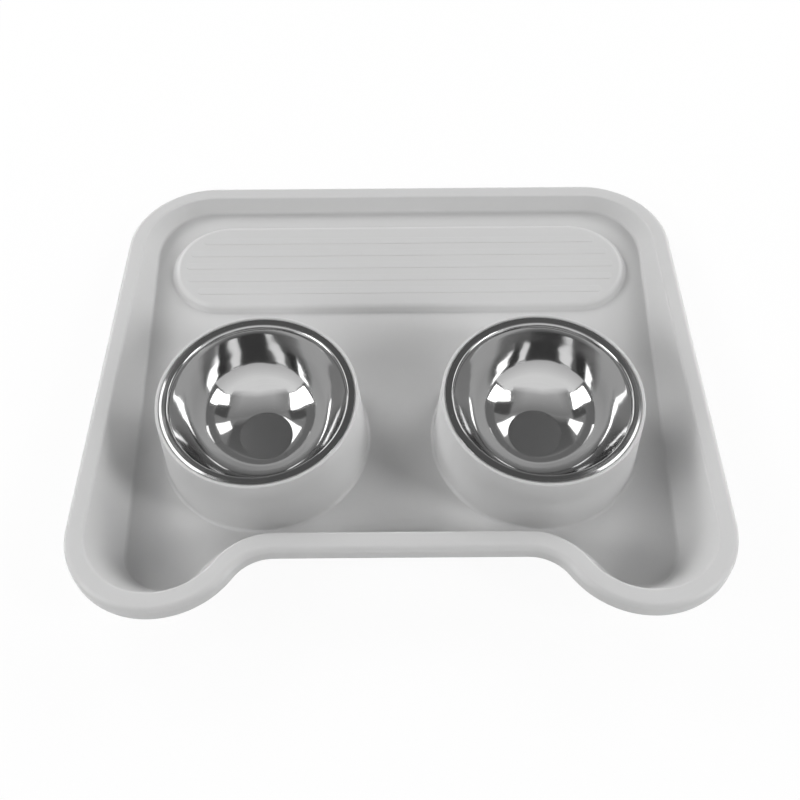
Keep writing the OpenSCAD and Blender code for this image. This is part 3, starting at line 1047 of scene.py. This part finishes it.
def fade_steps(soft, count):
    """Shares across a card, with a narrow first and last step where its edges fade."""
    inner = [soft + (1 - 2 * soft) * step / count for step in range(count + 1)]
    return [0] + inner + [1] if soft else inner


def on_fading_edge(soft, share):
    """Whether a share across a card lies on an edge that fades."""
    return soft > 0 and share in (0, 1)


def card(name, place, low, high, soft_along=0, soft_up=0, lamp=False):
    """A card of the studio. It glows from low at its first long edge to high at the other."""
    along = fade_steps(soft_along, LAMP_COLUMNS if lamp else CARD_COLUMNS)
    up = fade_steps(soft_up, LAMP_ROWS if lamp else CARD_ROWS)
    shares = [(u, v) for v in up for u in along]
    glow = [low + (high - low) * v for _, v in shares]
    cover = [float(not on_fading_edge(soft_along, u) and not on_fading_edge(soft_up, v))
             for u, v in shares]
    width = len(along)
    starts = [row * width + column for row in range(len(up) - 1) for column in range(width - 1)]
    mesh = bpy.data.meshes.new(name)
    mesh.from_pydata([place(u, v) for u, v in shares], [],
                     [(start, start + 1, start + width + 1, start + width) for start in starts])
    mesh.attributes.new("glow", "FLOAT", "POINT").data.foreach_set("value", glow)
    mesh.attributes.new("cover", "FLOAT", "POINT").data.foreach_set("value", cover)
    mesh.materials.append(LAMP_GLOW if lamp else CARD_GLOW)
    made = place_object(name, mesh)
    made.visible_camera = False
    made.visible_shadow = False
    made.visible_diffuse = lamp
    made.visible_glossy = not lamp
    made.visible_transmission = not lamp


def level_place(corners, height):
    """Places on a level card, from its first edge, over two corners, to its second."""
    one, two, three, four = [Vector((*corner, height)) for corner in corners]
    return lambda u, v: one.lerp(two, u).lerp(four.lerp(three, u), v)


def wall_place(azimuths, heights, distance):
    """Places on a wall around the object. Azimuth runs from the back, in degrees to the right."""
    def place(u, v):
        azimuth = math.radians(azimuths[0] + (azimuths[1] - azimuths[0]) * u)
        height = heights[0] + (heights[1] - heights[0]) * v
        return Vector((math.sin(azimuth) * distance, math.cos(azimuth) * distance, height))
    return place


WALL_R = 2.0
CEILING_Z = 1.70
# Cards lie this far apart, one in front of the other
LAYER = 0.01
LAMP_R = 1.9
CARD_COLUMNS = 48
CARD_ROWS = 4
LAMP_COLUMNS = 6
LAMP_ROWS = 1
CEILING = [(-WALL_R, -WALL_R), (WALL_R, -WALL_R), (WALL_R, WALL_R), (-WALL_R, WALL_R)]
CEILING_GLOW_FRONT = 0.36
CEILING_GLOW_BACK = 0.26

# Name: corners, glow at the first edge and at the second, share that fades along and across
LEVEL_CARDS = {
    "middle": ([(-1.0, -0.85), (1.0, -0.85), (1.0, 0.42), (-1.0, 0.42)], 0.66, 0.24, 0.25, 0.12),
    "dark_back": ([(-0.5, 0.42), (0.5, 0.42), (1.0, 1.9), (-1.0, 1.9)], 0.12, 0.16, 0.12, 0.15),
    "dark_left": ([(-2.0, 0.11), (-0.82, 0.11), (-0.82, 0.57), (-2.0, 0.57)], 0.09, 0.11, 0.10, 0.12),
    "dark_right": ([(0.85, -0.14), (2.0, -0.14), (2.0, 0.44), (0.85, 0.44)], 0.11, 0.09, 0.10, 0.12),
    "front_left": ([(-2.1, -0.92), (-1.1, -0.68), (-1.1, -2.1), (-2.1, -2.1)], 0.96, 0.96, 0, 0),
    "front_right": ([(1.1, -0.68), (2.1, -0.92), (2.1, -2.1), (1.1, -2.1)], 0.96, 0.96, 0, 0),
    "front_middle_left": ([(-1.1, -0.64), (0, -0.40), (0, -2.7), (-1.1, -2.7)], 0.96, 0.96, 0, 0.16),
    "front_middle_right": ([(0, -0.40), (1.1, -0.64), (1.1, -2.7), (0, -2.7)], 0.96, 0.96, 0, 0.16),
}
# Name: corners, glow
SOFTBOXES = {
    "left": ([(-0.96, 0.14), (-1.15, -0.62), (-2.00, -0.84), (-2.05, -0.06)], 6.0),
    "right": ([(1.02, -0.18), (1.18, -0.65), (2.00, -0.84), (2.05, -0.18)], 6.0),
    "back_left": ([(-0.48, 0.64), (-0.64, 0.46), (-1.43, 0.88), (-0.92, 1.28)], 2.5),
    "back_right": ([(0.48, 0.70), (0.69, 0.46), (1.60, 0.85), (1.15, 1.22)], 2.5),
}
# Name: azimuths, heights, glow at the foot and at the top, share that fades along and up
WALLS = {
    "around": ((-180, 180), (0, CEILING_Z), 0.16, 0.20, 0, 0),
    "back": ((-30, 36), (0, CEILING_Z), 0.16, 0.20, 0.05, 0),
    "front": ((118, 242), (0, CEILING_Z), 0.60, 0.98, 0, 0),
    "panel_left": ((-115, -91), (0.95, 1.68), 6.0, 6.0, 0, 0.05),
    "panel_right": ((93, 115), (0.95, 1.68), 6.0, 6.0, 0, 0.05),
    "window_left": ((-58, -31), (0.35, 1.12), 3.0, 3.0, 0, 0.15),
    "window_right": ((38, 60), (0.35, 1.12), 3.0, 3.0, 0, 0.15),
}
card("card_ceiling", level_place(CEILING, CEILING_Z), CEILING_GLOW_FRONT, CEILING_GLOW_BACK)
for layer, (name, (corners, *looks)) in enumerate(LEVEL_CARDS.items()):
    card("card_" + name, level_place(corners, CEILING_Z - LAYER * (layer + 1)), *looks)
for name, (corners, glow) in SOFTBOXES.items():
    card("softbox_" + name, level_place(corners, CEILING_Z - LAYER * (len(LEVEL_CARDS) + 1)), glow, glow)
for layer, (name, (azimuths, heights, *looks)) in enumerate(WALLS.items()):
    card("wall_" + name, wall_place(azimuths, heights, WALL_R - LAYER * layer), *looks)

# Name: azimuths, lowest and highest elevation, glow
LAMPS = {
    "left": ((-120, -90), (22, 38), 9.3),
    "left_front": ((-135, -120), (8, 38), 4.2),
    "back_left": ((-60, -30), (22, 38), 10.6),
    "back": ((0, 15), (22, 38), 3.8),
    "back_right": ((30, 60), (22, 38), 7.8),
    "back_right_low": ((45, 75), (8, 22), 4.0),
    "right": ((105, 120), (22, 38), 16.4),
    "right_low": ((105, 135), (8, 22), 4.6),
    "top": ((-180, 180), (55, 80), 0.15),
}
for name, (azimuths, elevations, glow) in LAMPS.items():
    heights = [LAMP_R * math.tan(math.radians(elevation)) for elevation in elevations]
    card("lamp_" + name, wall_place(azimuths, heights, LAMP_R), glow, glow, lamp=True)


def studio_world():
    """White to the camera and in mirrors, but nearly dark as a light on the object."""
    world = bpy.data.worlds.new("studio")
    bpy.context.scene.world = world
    world.use_nodes = True
    tree = world.node_tree
    tree.nodes.clear()
    ray = node(tree, "ShaderNodeLightPath").outputs
    seen_or_mirrored = calculate(tree, "MAXIMUM", ray["Is Camera Ray"], ray["Is Glossy Ray"])
    seen = calculate(tree, "MAXIMUM", seen_or_mirrored, ray["Is Transmission Ray"])
    plain = output(tree, "ShaderNodeBackground", {"Color": (*WHITE, 1), "Strength": PLAIN_LEVEL})
    white = output(tree, "ShaderNodeBackground", {"Color": (*WHITE, 1)})
    either = output(tree, "ShaderNodeMixShader", {0: seen, 1: plain, 2: white})
    node(tree, "ShaderNodeOutputWorld", {"Surface": either})


def pale_floor():
    """A wide white floor that keeps a soft shadow of the object."""
    material, tree, shader = new_material("pale_floor", {
        "Base Color": (*FLOOR_WHITE, 1), "Roughness": FLOOR_ROUGHNESS, "Specular IOR Level": 0})
    glow = output(tree, "ShaderNodeEmission", {"Color": (*WHITE, 1)})
    to_camera = node(tree, "ShaderNodeLightPath").outputs["Is Camera Ray"]
    share = calculate(tree, "MULTIPLY", to_camera, FLOOR_GLOW_SHARE)
    both = output(tree, "ShaderNodeMixShader", {0: share, 1: shader.outputs[0], 2: glow})
    give(tree, tree.nodes["Material Output"].inputs["Surface"], both)
    mesh = bpy.data.meshes.new("floor")
    corners = [(x * FLOOR_HALF, y * FLOOR_HALF, 0) for x, y in ((-1, -1), (1, -1), (1, 1), (-1, 1))]
    mesh.from_pydata(corners, [], [(0, 1, 2, 3)])
    mesh.materials.append(material)
    place_object("floor", mesh)


studio_world()
pale_floor()

# Camera, at the photograph's place and angle
CAMERA_AT = Vector((1.03 * MM, -395.5 * MM, 604.8 * MM))
LOOK_DOWN = math.radians(57.58)
YAW = -0.00313
ROLL = -0.01045
FOCAL_PX = 976.34
PHOTO_PX = 800
camera_data = bpy.data.cameras.new("camera")
camera_data.lens = camera_data.sensor_width * FOCAL_PX / PHOTO_PX
camera = place_object("camera", camera_data)
forward = Vector((math.sin(YAW) * math.cos(LOOK_DOWN),
                  math.cos(YAW) * math.cos(LOOK_DOWN),
                  -math.sin(LOOK_DOWN)))
level = Vector((math.cos(YAW), -math.sin(YAW), 0))
upward = level.cross(forward)
across = level * math.cos(ROLL) + upward * math.sin(ROLL)
above = upward * math.cos(ROLL) - level * math.sin(ROLL)
turned = Matrix((across, above, -forward)).transposed().to_4x4()
camera.matrix_world = Matrix.Translation(CAMERA_AT) @ turned
bpy.context.scene.camera = camera
bpy.context.scene.view_settings.view_transform = "Standard"
